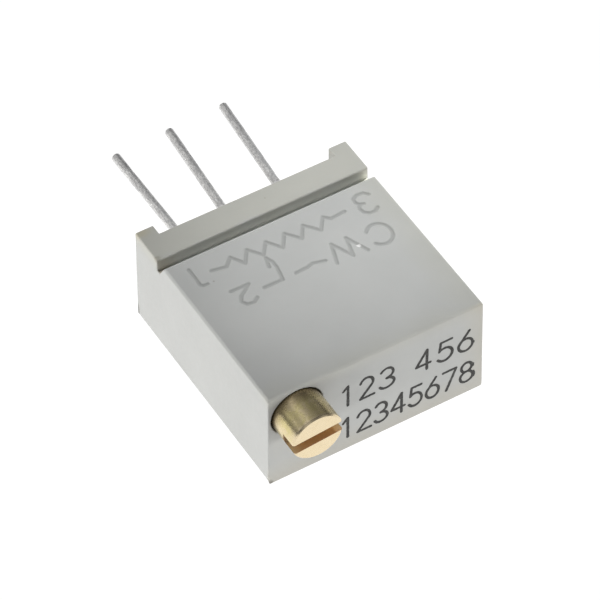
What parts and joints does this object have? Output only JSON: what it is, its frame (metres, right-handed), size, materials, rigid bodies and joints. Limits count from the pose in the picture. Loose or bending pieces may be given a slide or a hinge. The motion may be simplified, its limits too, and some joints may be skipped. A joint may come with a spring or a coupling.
{
  "type": "trimmer potentiometer",
  "caption": "Square box-shaped multiturn trimmer potentiometer with a slotted brass adjusting screw, an internal worm drive and wiper, and in-line round leads.",
  "frame": {"origin": "centre of the housing's large plain face, the face it lies on", "axes": "+X across the width, +Y along the length from the screw face to the leads, +Z through the thickness, up towards the marked face"},
  "size_m": [0.0096, 0.0179, 0.0048],
  "materials": {
    "housing_plastic": "light grey moulded plastic, faintly grained, matt to satin",
    "screw_brass": "turned yellow brass with fine lathe rings, bright faces",
    "seal_rubber": "smooth red-brown silicone rubber",
    "clip_steel": "blanked stainless spring strip",
    "rotor_plastic": "natural off-white nylon",
    "contact_alloy": "pale yellow precious-metal contact spring",
    "ceramic": "unglazed white alumina",
    "resistive_film": "black fired resistive glaze",
    "conductive_film": "matt silver fired conductor",
    "tinned_lead": "dull tinned copper wire, mottled grey",
    "solder": "satin grey solder",
    "base_plastic": "mid grey moulded plastic",
    "sealant": "pale straw cast epoxy, slightly glossy"
  },
  "bodies": {
    "body": {"housing": "housing_plastic", "screw_retainer_clip": "clip_steel", "ceramic_substrate": "ceramic", "resistive_track": "resistive_film", "collector_track": "conductive_film", "end_pad_1": "conductive_film", "end_pad_3": "conductive_film", "terminal_pin_1": "tinned_lead", "terminal_pin_2": "tinned_lead", "terminal_pin_3": "tinned_lead", "solder_joint_1": "solder", "solder_joint_2": "solder", "solder_joint_3": "solder", "terminal_base": "base_plastic", "epoxy_seal": "sealant"},
    "screw": {"adjustment_screw": "screw_brass", "screw_o_ring": "seal_rubber"},
    "rotor": {"rotor_gear": "rotor_plastic", "wiper_contact": "contact_alloy"}
  },
  "joints": [
    {"name": "screw_turn", "type": "hinge", "parent": "body", "child": "screw", "pos_m": [-0.00349, -0.00502, 0.00356], "axis": [0, 1, 0], "range_deg": [-4410, 4590]},
    {"name": "rotor_turn", "type": "hinge", "parent": "body", "child": "rotor", "pos_m": [0.00056, -0.0006, 0.0032], "axis": [0, 0, 1], "range_deg": [-122.5, 127.5]}
  ],
  "couplings": [
    {"joint": "rotor_turn", "follows": "screw_turn", "ratio": 0.027778}
  ]
}
